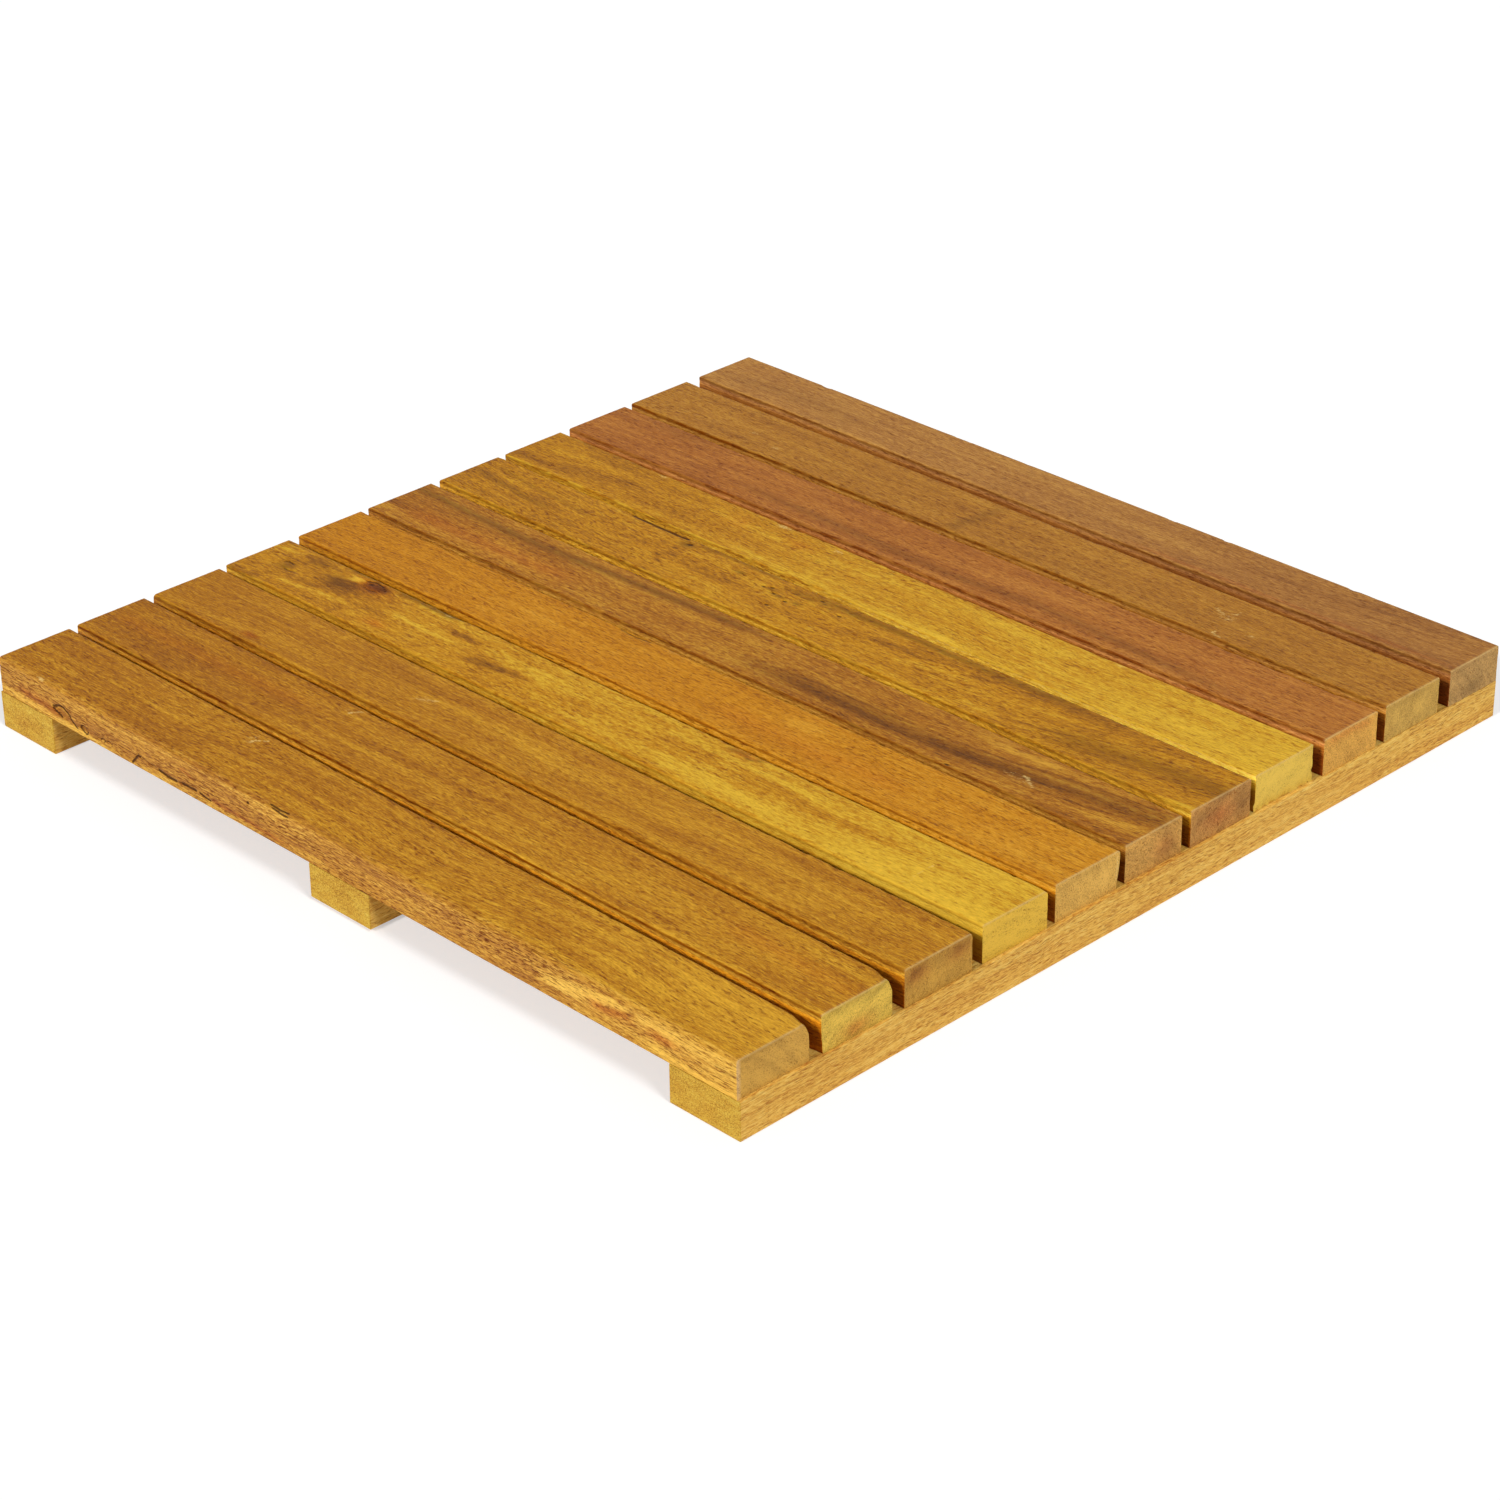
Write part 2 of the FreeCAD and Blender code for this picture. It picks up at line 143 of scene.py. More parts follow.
LOOKS = {
    "slat_01": Look(
        "amber", ((0, -0.05), (150, 0.02), (300, 0.05), (400, 0.13), (500, 0.28)), "b88e44",
        flow=((0, 0), (200, 1), (300, -1), (400, 3), (500, -2)), pith=(-30, -50), pores=1.0, streaks=1.15,
        rim=(0.3, 0.3, 0.6), amber=(0, 0),
        top=(
            spot("scuff", 0.6, (150, 33), (2.5, 7)),
            band("scuff", 1.0, 0.9, (151, 30), (154, 34), (158, 38)),
            spot("dark", 0.8, (47, 22), (1.6, 1.2)),
            spot("dark", 0.8, (121, 15), (1.6, 1.2)),
            band("dark", 0.3, 2.0, (295, 27), (320, 25), (345, 25)),
            band("dark", 0.45, 1.4, (315, 3), (330, 4), (342, 3)),
            band("light", 0.5, 1.5, (335, 1), (360, 5), (385, 6), (425, 3)),
            band("light", 0.4, 2.2, (380, 14), (430, 18), (500, 12)),
            band("light", 0.35, 3.0, (420, 32), (460, 28), (500, 30)),
            band("light", 0.3, 1.8, (260, 14), (300, 12), (350, 14)),
            spot("scuff", 0.6, (33, 0.8), (6, 1)),
            spot("scuff", 0.5, (168, 0.8), (5, 1)),
            spot("scuff", 0.4, (135, 2), (5, 1.5)),
            spot("scuff", 0.5, (271, 1), (4, 1.5)),
            band("crack", 0.9, 0.9, (203, 1.2), (210, 0.6), (217, 1.4)),
        ),
        front=(
            band("pink", 1.0, 18, (-60, 11), (455, 10)),
            band("pink", 0.85, 18, (340, 11), (600, 10)),
            band("dark", 0.38, 14, (150, 10), (230, 10), (330, 10), (390, 10)),
            band("light", 0.75, 2.0, (-8, 5), (15, 3.2), (36, 2.4), (62, 1.6), (92, 0)),
            band("stain", 0.55, 1.1, (20, 6.3), (32, 6), (38, 4.6), (49, 3.4)),
            band("red", 0.7, 2.4, (15, 7), (32, 6.5), (46, 4)),
            spot("dark", 0.4, (49, 7), (5, 1.5), -20),
            spot("crack", 0.9, (42.4, 7.9), (2.0, 0.9)),
            band("crack", 1.0, 0.55, (42.9, 8.5), (47.1, 10.1), (50.2, 9.8), (53, 8.3), (55.1, 6.7), (55.4, 5.7)),
            band("crack", 1.0, 0.55, (41, 6.9), (43.2, 6), (46.2, 5), (48.5, 4.2)),
            band("crack", 1.0, 0.55, (55.2, 6), (57.1, 4.3), (60, 2.7)),
            band("crack", 0.85, 0.55, (62.1, 4.1), (63.1, 5.3), (65.2, 6), (67.3, 5), (68.6, 3.3)),
            band("crack", 0.85, 0.55, (62.1, 4.1), (64.7, 2.9), (66.9, 2.2), (68.6, 3.3)),
            band("crack", 0.7, 0.5, (77.9, 3.4), (79.7, 5.2), (81.9, 4.2), (80.5, 2.9)),
            band("crack", 0.7, 0.5, (82.7, 4.5), (84.7, 5.2), (87.2, 3.8)),
            band("crack", 1.0, 0.6, (101.7, 0.8), (104.7, 4), (107.4, 6.5), (109.6, 6.4)),
            band("crack", 0.6, 0.5, (109, 6.4), (114.8, 5.8), (119.2, 5.4), (122.5, 5)),
            band("crack", 1.2, 0.8, (122.1, 5), (125.1, 4.5), (128.7, 3.9), (131.7, 4), (135.4, 3.9)),
            band("crack", 0.6, 0.5, (134, 3.9), (140, 4.5)),
            band("crack", 1.1, 0.65, (139.2, 4.6), (144.4, 4.8), (147.3, 4.9), (150.2, 4.8)),
            band("crack", 0.9, 0.6, (152, 4.7), (156.7, 3.9), (161, 3.6)),
            band("dark", 0.9, 0.8, (160, 4.8), (180, 4.3), (200, 3.2), (216, 2.3)),
            band("red", 0.6, 0.9, (160, 4.8), (180, 4.3), (200, 3.2), (216, 2.3)),
            band("light", 0.5, 1.4, (104, 1.8), (125, 1.8), (160, 1.6), (200, 1.2)),
            band("red", 0.6, 1.2, (140, 12.5), (148, 10)),
            band("light", 0.5, 1.4, (165, 16.5), (185, 16.5), (204, 16)),
            spot("crack", 1.0, (188, 13.6), (1.2, 1.0)),
            spot("dark", 0.8, (188, 13.6), (2.4, 1.8)),
            spot("dark", 0.7, (206, 17.8), (6, 1.6)),
            band("crack", 0.9, 0.8, (205, 18.2), (211, 17.4), (217, 17.4)),
            band("light", 0.6, 0.7, (203, 18.9), (212, 18.6), (219, 18.8)),
            spot("scuff", 0.8, (34, 19), (3.5, 1.2)),
            band("light", 0.75, 2.6, (380, 7.5), (395, 9), (410, 11.5), (422, 13.2), (434, 14.8)),
            band("light", 0.5, 2.6, (434, 14.5), (455, 15), (472, 14.6), (486, 15), (540, 15)),
            band("dark", 0.2, 14, (420, 10), (470, 10), (600, 10)),
            band("light", 0.6, 1.7, (440, 5.5), (452, 4), (466, 2.2), (477, 2), (488, 1.2), (540, 1)),
            band("dark", 0.8, 1.6, (415, 9.2), (426, 9.8), (434, 11), (438, 14), (439, 17)),
            band("red", 0.7, 2.2, (410, 8.5), (426, 9.5), (436, 11.5)),
            spot("dark", 0.9, (453, 10.6), (7, 1.8), -10),
            spot("red", 0.7, (455, 10), (8, 2.5)),
            band("dark", 0.7, 1.2, (459, 8.8), (472, 8.4), (483, 9.9), (492, 10.8), (530, 10)),
            band("stain", 0.6, 1.0, (487, 11.4), (491, 10.6), (497, 10.9)),
            band("dark", 0.7, 0.8, (462, 5.5), (472, 3.8), (484, 2.9)),
            band("dark", 0.6, 1.2, (400, 15.5), (412, 16), (424, 16.8), (436, 18)),
            band("dark", 0.6, 1.2, (350, 4), (400, 5), (430, 4)),
            band("dark", 0.8, 1.3, (318, 12), (350, 11), (385, 8.5)),
            band("dark", 0.6, 0.9, (230, 8), (270, 6), (320, 7)),
            band("dark", 0.6, 0.9, (215, 12), (260, 11), (300, 13)),
        ),
        end=(
            band("stain", 0.35, 1.2, (6, 19), (20, 8), (26, 0)),
            band("stain", 0.3, 1.0, (22, 19), (33, 6), (36, 0)),
            band("stain", 0.5, 1.6, (2, 17.5), (18, 18.3), (30, 18.3)),
            band("light", 0.6, 1.0, (28, 15), (39, 5)),
        ),
    ),
    "slat_02": Look(
        "amber", ((0, -0.13), (120, -0.08), (220, 0.02), (400, 0.1), (500, 0.06)), "d6b44e",
        flow=((0, 0), (250, 2), (500, -1)), pith=(60, -55), pores=0.9, streaks=1.0,
        rim=(1.05, 0.9, 1.15), painted_lit_band=(1.0, 0.65, 1.1), amber=(0.8, 1.0),
        top=(
            spot("dark", 0.9, (38, 5), (1.8, 1.4)),
            band("scuff", 1.1, 1.0, (162, 32), (165, 35), (168, 39)),
            spot("scuff", 0.45, (160, 35), (4, 3)),
            spot("scuff", 0.5, (417, 1), (3, 1.4)),
            spot("scuff", 0.5, (443, 1), (2, 1.2)),
            spot("scuff", 0.5, (455, 1), (2, 1.2)),
            band("red", 0.3, 5.0, (0, 20), (80, 22), (150, 24)),
            band("red", 0.3, 5.0, (420, 24), (500, 20)),
        ),
        end=(
            band("stain", 0.45, 1.8, (2, 17), (20, 18), (38, 16)),
            spot("red", 0.9, (20, 4), (9, 4)),
            spot("dark", 0.4, (20, 3), (8, 3)),
            band("light", 0.5, 1.6, (6, 11), (20, 12), (36, 10)),
        ),
    ),
    "slat_03": Look(
        "amber", ((0, -0.06), (250, 0.03), (500, 0.08)), "b58a3e",
        flow=((0, 0), (500, 1)), pith=(120, -20), pores=0.8, streaks=0.85,
        rim=(0.75, 0.65, 1.0), painted_lit_band=(0.3, 0.55, 1.1), amber=(0.9, 0.6), warm=0.1,
        top=(
            band("light", 0.35, 1.2, (0, 21), (150, 23), (330, 24), (500, 22)),
            band("light", 0.3, 0.9, (60, 26), (250, 28), (420, 27)),
            band("light", 0.25, 0.8, (30, 17), (200, 18), (350, 19)),
            spot("scuff", 0.6, (178, 20), (6, 4)),
            band("scuff", 0.8, 1.0, (173, 16), (178, 20), (185, 24)),
            spot("red", 0.8, (68, 5.5), (4.5, 2)),
            spot("dark", 0.5, (68, 5.5), (3.5, 1.6)),
            spot("light", 0.5, (87, 4), (8, 1)),
            spot("scuff", 0.5, (415, 38.5), (4, 1.2)),
            spot("scuff", 0.5, (448, 38.5), (5, 1.2)),
        ),
        end=(
            spot("stain", 1.0, (7, 15), (6, 2.6), 15),
            spot("stain", 0.9, (33, 15), (6, 3), 10),
            spot("red", 0.7, (7, 14), (7, 4)),
            spot("red", 0.6, (33, 14), (7, 4)),
            spot("light", 0.5, (20, 8), (9, 4)),
        ),
    ),
    "slat_04": Look(
        "gold", ((0, -0.1), (120, 0.02), (250, 0.12), (400, 0.15), (430, 0.3), (500, 0.32)), "c8a13c",
        flow=((0, 0), (60, 3), (90, 0), (250, -1), (500, 2)), pith=(10, -45), pores=0.8, streaks=1.2,
        rim=(0.38, 0.35, 1.0), painted_lit_band=(0.52, 0.26, 1.1), amber=(0.6, 0.1),
        top=(
            spot("stain", 1.2, (22, 20), (4.5, 4.5)),
            band("crack", 0.75, 0.9, (17, 22), (20, 24), (25, 23)),
            band("crack", 0.7, 0.9, (22, 18), (27, 17), (31, 19)),
            band("crack", 0.8, 0.9, (64, 36), (69, 38), (76, 37), (80, 34)),
            band("crack", 0.7, 0.9, (66, 32), (71, 30), (78, 31)),
            band("stain", 1.2, 1.2, (48, 26), (56, 29), (66, 30)),
            band("stain", 1.1, 1.2, (50, 38), (60, 39), (72, 39)),
            spot("dark", 0.8, (31, 34), (10, 5)),
            spot("stain", 0.5, (34, 33), (7, 3.5)),
            spot("dark", 1.2, (60, 25), (14, 6), 10),
            spot("stain", 0.7, (54, 27), (10, 5)),
            spot("dark", 1.4, (73, 34), (9, 4)),
            spot("crack", 0.8, (69, 35), (2.8, 1.8)),
            spot("stain", 1.2, (77, 35), (5, 3)),
            spot("red", 0.9, (72, 33), (12, 6)),
            spot("light", 2.2, (59, 33.5), (4.5, 2.2), 20),
            spot("scuff", 0.6, (87, 36), (4, 1.6)),
            band("stain", 1.1, 1.9, (85, 38), (100, 39), (128, 38)),
            band("light", 0.9, 1.6, (-3, 31), (12, 33), (22, 35)),
            band("light", 0.9, 2.2, (25, 8), (50, 11), (78, 14)),
            band("light", 0.8, 2.0, (95, 22), (122, 20), (152, 21)),
            spot("red", 0.8, (102, 9), (7, 2.6)),
            spot("dark", 0.8, (88, 17), (6, 2)),
            band("dark", 1.1, 2.0, (135, 28), (146, 28.5), (158, 27)),
            band("dark", 1.1, 2.4, (158, 14), (178, 17), (198, 20)),
            spot("stain", 0.4, (176, 17), (12, 3)),
            band("stain", 1.3, 1.2, (312, 36), (321, 38), (326, 35.5), (334, 38)),
            spot("red", 0.8, (323, 37), (8, 2.5)),
            band("crack", 0.8, 0.9, (115, 40), (124, 39.4), (132, 40)),
            spot("scuff", 0.9, (121, 38.6), (3, 1)),
            band("dark", 0.25, 3.5, (220, 21), (300, 23), (420, 21)),
            band("scuff", 0.7, 0.9, (448, 27), (452, 12), (450, 1)),
        ),
        end=(
            band("light", 0.4, 1.4, (4, 4), (20, 8), (38, 6)),
            band("dark", 0.25, 0.9, (4, 13), (20, 15), (38, 13)),
        ),
    ),
    "slat_05": Look(
        "orange", ((0, -0.05), (120, 0.02), (350, 0.05), (500, 0.12)), "cda353",
        flow=((0, 0), (250, -2), (500, 1)), pith=(-110, -30), pores=1.0, streaks=0.6,
        rim=(0.7, 0.65, 1.0), painted_lit_band=(0.45, 0.62, 1.1), amber=(0.1, 0.4),
        top=(
            spot("light", 0.35, (153, 20), (9, 9)),
            spot("light", 0.6, (325, 28), (10, 3.5)),
            band("red", 0.25, 6, (280, 16), (340, 15), (395, 16)),
            band("crack", 0.7, 0.9, (190, 39.4), (200, 38.6), (213, 39.4)),
            spot("scuff", 0.6, (227, 39), (7, 1.4)),
            spot("scuff", 0.5, (408, 38.6), (5, 1.2)),
            spot("scuff", 0.5, (432, 38.8), (4, 1.2)),
        ),
        end=(
            band("scuff", 0.8, 1.1, (39.5, 17), (40.2, 9), (40, 3)),
            band("stain", 0.3, 1.5, (3, 15), (15, 17), (30, 16)),
            spot("light", 0.5, (30, 9), (7, 4)),
        ),
    ),
    "slat_06": Look(
        "brown", ((0, 0.04), (200, 0.1), (330, 0.06), (500, 0.04)), "ca9a50",
        flow=((0, 0), (250, -4), (350, -4), (500, 11)), pith=(-20, -50), pores=0.9, streaks=1.1,
        rim=(0.7, 0.65, 0.55), painted_lit_band=(0.74, 0.35, 1.1), amber=(0.7, 0.2),
        top=(
            band("stain", 1.0, 3.2, (-20, 34), (20, 33), (46, 31.5), (83, 30.5), (116, 32), (160, 33.5), (199, 36), (251, 38)),
            band("red", 0.5, 6, (15, 13), (80, 13), (140, 15)),
            band("stain", 0.7, 7.0, (250, 11), (290, 14), (320, 13.5), (358, 13), (385, 15), (410, 18), (438, 23), (520, 33)),
            band("stain", 0.55, 2.2, (264, 14), (290, 18), (320, 18), (358, 18), (385, 19.5), (410, 22.5), (440, 28.5), (520, 40)),
            band("dark", 0.9, 1.0, (262, 16), (300, 20), (340, 20), (385, 22), (410, 25), (440, 31), (500, 40)),
            band("dark", 0.8, 0.9, (320, 9), (370, 10), (410, 14), (450, 22)),
            band("dark", 0.8, 0.9, (350, 4), (400, 7), (450, 14), (490, 22)),
            band("dark", 0.55, 7.0, (280, 11), (330, 10), (380, 11), (430, 17)),
            band("dark", 0.6, 1.2, (398, 6), (440, 9), (482, 16)),
            band("light", 0.7, 3.2, (388, 33), (410, 34), (435, 36)),
            band("light", 0.5, 3.0, (452, 11), (475, 14), (500, 19)),
            band("scuff", 1.1, 0.9, (426, 20), (430, 16), (434, 12)),
            band("scuff", 0.8, 0.9, (415, 18), (418, 12)),
            band("scuff", 0.6, 0.9, (436, 22), (441, 18)),
            spot("scuff", 0.5, (424, 16), (12, 5)),
            spot("crack", 0.9, (393, 1.6), (2.2, 1.3)),
        ),
        end=(
            spot("stain", 0.75, (31, 6), (7, 5)),
            band("stain", 0.7, 2.0, (27, 16), (35, 12), (37, 3)),
            spot("red", 0.5, (30, 8), (8, 6)),
        ),
    ),
    "slat_07": Look(
        "gold", ((0, -0.13), (150, -0.05), (330, 0.04), (420, -0.06), (500, -0.14)), "c69150",
        flow=((0, 15), (115, 4), (230, 0), (365, 5), (500, 21)), pith=(30, -30), pores=1.0, streaks=1.0,
        rim=(0.5, 0.45, 0.9), painted_lit_band=(0.96, 0.65, 1.1), amber=(0.35, 0.2),
        top=(
            band("stain", 0.7, 2.0, (5, 22), (40, 18), (66, 15)),
            band("stain", 0.5, 1.6, (10, 32), (50, 27), (90, 24)),
            band("crack", 1.1, 0.9, (102, 40), (118, 39.4), (132, 39.2), (144, 39.6)),
            spot("stain", 1.4, (147, 35), (4.5, 3.2)),
            spot("crack", 0.9, (148, 36), (2.4, 1.7)),
            *(spot("dark", 1.4, at, (1.8, 1.2)) for at in ((144, 28), (150, 22), (145, 17), (149, 13))),
            band("light", 0.7, 0.9, (153, 31), (155, 22), (153, 14)),
            band("stain", 0.9, 1.5, (150, 38), (180, 39), (208, 39)),
            *(spot("crack", 1.0, at, (1.8, 1.0)) for at in ((207, 28), (211, 30), (216, 26), (226, 23.5), (222, 15), (239, 36), (256, 30))),
            *(spot("stain", 1.3, at, (3.4, 1.2)) for at in ((212, 28), (221, 25), (232, 25), (226, 33), (233, 33), (241, 34), (248, 33), (188, 31))),
            band("stain", 0.6, 1.6, (214, 33), (228, 35), (240, 36)),
            band("stain", 1.0, 2.5, (228, 38), (262, 36.5), (300, 37.5), (350, 37), (405, 39)),
            band("dark", 0.9, 1.0, (284, 24), (298, 26), (312, 25), (322, 27)),
            band("dark", 0.8, 1.0, (316, 15), (328, 17), (340, 18), (354, 22)),
            band("dark", 0.9, 1.1, (338, 26), (350, 29), (364, 33)),
            band("dark", 0.8, 1.2, (376, 7), (396, 10), (414, 15)),
            band("dark", 0.6, 1.4, (388, 18), (412, 22), (432, 25)),
            band("stain", 0.65, 7.0, (405, 12), (460, 20), (520, 26)),
            band("dark", 0.6, 3.0, (300, 30), (360, 34), (430, 37)),
            spot("light", 0.8, (492, 1.5), (12, 2)),
        ),
        end=(
            spot("stain", 0.7, (6, 12), (6, 5)),
            spot("stain", 0.65, (35, 9), (5, 6)),
            spot("red", 0.7, (20, 9), (10, 5)),
        ),
    ),
    "slat_08": Look(
        "gold", ((0, -0.1), (130, -0.02), (250, 0.1), (400, 0.17), (430, 0.26), (500, 0.3)), "ccab4b",
        flow=((0, 0), (200, 3), (350, 1), (500, 3)), pith=(70, -60), pores=1.0, streaks=0.9, arris=0.7,
        rim=(0.6, 0.0, 0.9), painted_lit_band=(0.35, 0.85, 0.2), amber=(0.5, 0.3),
        top=(
            band("dark", 0.35, 4, (25, 12), (70, 18), (120, 14)),
            band("dark", 0.3, 3, (30, 30), (80, 28), (125, 31)),
            spot("red", 0.45, (147, 26), (8, 4)),
            spot("red", 0.45, (187, 27), (8, 4)),
            band("light", 0.8, 2.0, (160, 5), (200, 3), (260, 2), (330, 2)),
            spot("scuff", 0.9, (80, 37.5), (5, 1.4)),
            spot("scuff", 0.9, (167, 37), (6, 2)),
            spot("scuff", 0.9, (207, 35), (4, 1.6)),
            spot("scuff", 0.8, (387, 38), (4, 1.5)),
        ),
        front=(
            band("scuff", 0.6, 1.1, (200, 17.8), (540, 17.8)),
        ),
        end=(
            band("scuff", 0.7, 0.9, (3, 1), (15, 1.6), (28, 1), (38, 1.5)),
            band("light", 0.4, 1.4, (4, 12), (20, 14), (38, 12)),
        ),
    ),
    "slat_09": Look(
        "copper", ((0, 0.02), (250, 0.01), (500, 0.1)), "d29f49",
        flow=((0, 0), (500, 3)), pith=(-90, -60), pores=1.0, streaks=0.9, arris=0.4,
        rim=(0.75, 0.82, 0.6), painted_lit_band=(0.85, 1.0, 1.1), amber=(0.4, 0.4), painted_gap_shade=(3.2, 0.3), warm=0.05,
        top=(
            band("stain", 0.65, 3.4, (110, 13), (201, 11), (260, 9), (314, 13), (350, 12), (390, 8), (446, 5)),
            band("stain", 0.4, 2.0, (330, 12), (360, 11), (400, 8)),
            spot("stain", 0.35, (48, 35), (22, 4)),
            band("light", 0.25, 3.0, (250, 28), (340, 27), (430, 24)),
            spot("dark", 0.5, (407, 20), (2, 1.5)),
        ),
        end=(
            band("red", 0.5, 2.0, (2, 16), (20, 17), (36, 15)),
            band("dark", 0.35, 1.2, (4, 5), (20, 3), (34, 5)),
        ),
    ),
    "slat_10": Look(
        "tan", ((0, 0.05), (250, -0.03), (500, 0.03)), "c59f4f",
        flow=((0, 0), (500, -2)), pith=(130, -40), pores=1.0, streaks=0.8,
        rim=(1.0, 0.7, 0.8), painted_lit_band=(0.4, 0.85, 1.1), amber=(0.4, 0.4), painted_gap_shade=(3.0, 0.35), warm=0.2,
        top=(
            band("stain", 0.5, 4.5, (226, 0), (230, 20), (231, 40)),
            band("scuff", 0.9, 0.8, (378, 28), (382, 25), (387, 22)),
            band("scuff", 0.8, 0.8, (390, 31), (393, 24), (391, 17)),
            band("scuff", 1.0, 0.8, (393, 7), (396, 4), (401, 2)),
            spot("scuff", 0.8, (410, 13), (4, 1.5), 30),
            spot("scuff", 0.5, (389, 22), (9, 7)),
            spot("scuff", 0.8, (76, 18), (3.5, 1.8)),
            spot("scuff", 0.8, (97, 12), (3.5, 1.8)),
            spot("scuff", 0.5, (35, 1), (3, 1.2)),
        ),
        end=(
            band("stain", 0.3, 1.2, (4, 16), (20, 17), (38, 16)),
            spot("light", 0.4, (28, 8), (8, 4)),
        ),
    ),
    "slat_11": Look(
        "dun", ((0, 0.07), (200, 0.09), (330, -0.02), (500, -0.08)), "c0985a",
        flow=((0, 0), (250, 0), (400, 4), (500, 12)), pith=(-60, -40), pores=0.8, streaks=0.95,
        rim=(0.75, 0.75, 1.0), painted_lit_band=(0.39, 0.35, 1.1), amber=(0.3, 0.3), painted_gap_shade=(4.6, 0.75), warm=0.4,
        top=(
            band("dark", 0.35, 1.2, (135, 30), (200, 26), (270, 20)),
            band("dark", 0.3, 1.0, (150, 22), (210, 19), (270, 17)),
            band("stain", 0.25, 7, (10, 12), (60, 18), (110, 14)),
            band("dark", 0.3, 1.4, (340, 8), (420, 16), (500, 28)),
            band("dark", 0.3, 1.4, (360, 20), (430, 27), (490, 37)),
            band("red", 0.5, 1.4, (300, 3), (400, 3), (500, 4)),
        ),
        end=(
            spot("dark", 0.8, (18, 4), (9, 3.5)),
            spot("stain", 0.4, (18, 4), (8, 3)),
            band("stain", 0.3, 1.2, (4, 16), (20, 17), (34, 16)),
        ),
    ),
}

CHANNELS = ("light", "dark", "red", "pink", "stain", "scuff", "crack")


# Noise

def scramble(x, y, z, seed):
    """A fixed number from -1 to 1 for each whole-numbered place."""
    n = (x * 374761393 + y * 668265263 + z * 1440670441 + seed * 974634777) & 0xFFFFFFFF
    n = ((n ^ (n >> 13)) * 1274126177) & 0xFFFFFFFF
    return ((n ^ (n >> 16)) & 0xFFFF) / 32767.5 - 1


def noise(x, y, z, seed):
    """Smooth noise from -1 to 1 at places one unit apart."""
    place = np.stack(np.broadcast_arrays(x, y, z)).astype(float)
    whole = np.floor(place).astype(np.int64)
    part = place - whole
    part = part * part * (3 - 2 * part)
    total = 0
    for corner in range(8):
        step = (corner & 1, corner >> 1 & 1, corner >> 2 & 1)
        share = 1
        for axis in range(3):
            share = share * (part[axis] if step[axis] else 1 - part[axis])
        total = total + share * scramble(*(whole[axis] + step[axis] for axis in range(3)), seed)
    return total


def rough(x, y, z, seed, layers=3):
    """Noise with finer layers on it."""
    total = 0
    for layer in range(layers):
        scale = 2 ** layer
        total = total + noise(x * scale, y * scale, z * scale, seed + layer) / scale
    return total / 1.6


def smooth(value, low, high):
    """A soft step from 0 at low to 1 at high."""
    share = np.clip((value - low) / (high - low), 0, 1)
    return share * share * (3 - 2 * share)


# Slats

class Slat:
    """One slat's outline, read from its solid, in millimetres."""

    def __init__(self, name):
        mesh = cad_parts[name].data
        corners = np.empty(len(mesh.vertices) * 3)
        mesh.vertices.foreach_get("co", corners)
        x, y, z = corners.reshape(-1, 3).T / MM
        self.name = name
        self.seed = int(name[-2:]) * 17
        self.left = x.min()
        self.length = x.max() - x.min()
        self.base = z.min()
        self.thick = z.max() - z.min()
        at_left = x < x.min() + 0.01
        at_right = x > x.max() - 0.01
        self.front = y[at_left].min(), y[at_right].min()
        self.back = y[at_left].max(), y[at_right].max()
        level_top = (z > z.max() - 0.01) & (x < x.min() + 2)
        self.front_radius = y[level_top].min() - self.front[0]
        self.back_radius = self.back[0] - y[level_top].max()
        self.width = self.back[0] - self.front[0]


def stations(length, step, first, last):
    """Places from 0 to the length: first and last as given, and even steps between."""
    first = np.asarray(first, float)
    last = length - np.asarray(last, float)[::-1]
    count = max(2, round((last[0] - first[-1]) / step))
    return np.unique(np.concatenate([first, np.linspace(first[-1], last[0], count + 1), last]))


def rounded(across, up, radius, centre, side, level):
    """Turns the square corner about centre into a round one. side and level are -1 or 1."""
    a = (across - centre[0]) * side / radius
    b = (up - centre[1]) * level / radius
    inside = (a > 0) & (b > 0)
    a = np.where(inside, a, 1)
    b = np.where(inside, b, 1)
    reach = np.maximum(a, b)
    angle = np.where(a >= b, b / a, 2 - a / b) * math.pi / 4
    new_across = centre[0] + side * radius * reach * np.cos(angle)
    new_up = centre[1] + level * radius * reach * np.sin(angle)
    return np.where(inside, new_across, across), np.where(inside, new_up, up)


def box_skin(counts):
    """Which nodes of a lattice are on its skin, their numbers, and the skin's quads."""
    numbers = np.full(counts, -1)
    skin = np.zeros(counts, bool)
    for axis in range(3):
        for side in (0, -1):
            skin[(slice(None),) * axis + (side,)] = True
    numbers[skin] = np.arange(skin.sum())
    quads = []
    for axis in range(3):
        for side in (0, -1):
            layer = np.take(numbers, side, axis)
            ring = [layer[:-1, :-1], layer[1:, :-1], layer[1:, 1:], layer[:-1, 1:]]
            outward = (side == -1) != (axis == 1)
            quads.append(np.stack(ring if outward else ring[::-1], -1).reshape(-1, 4))
    return skin, np.concatenate(quads)


def normals(places, quads):
    """The outward direction at each corner of a skin of quads."""
    p = places[quads]
    flat = np.cross(p[:, 2] - p[:, 0], p[:, 3] - p[:, 1])
    flat /= np.linalg.norm(flat, axis=1, keepdims=True)
    total = np.zeros_like(places)
    for corner in range(4):
        np.add.at(total, quads[:, corner], flat)
    return total / np.linalg.norm(total, axis=1, keepdims=True)


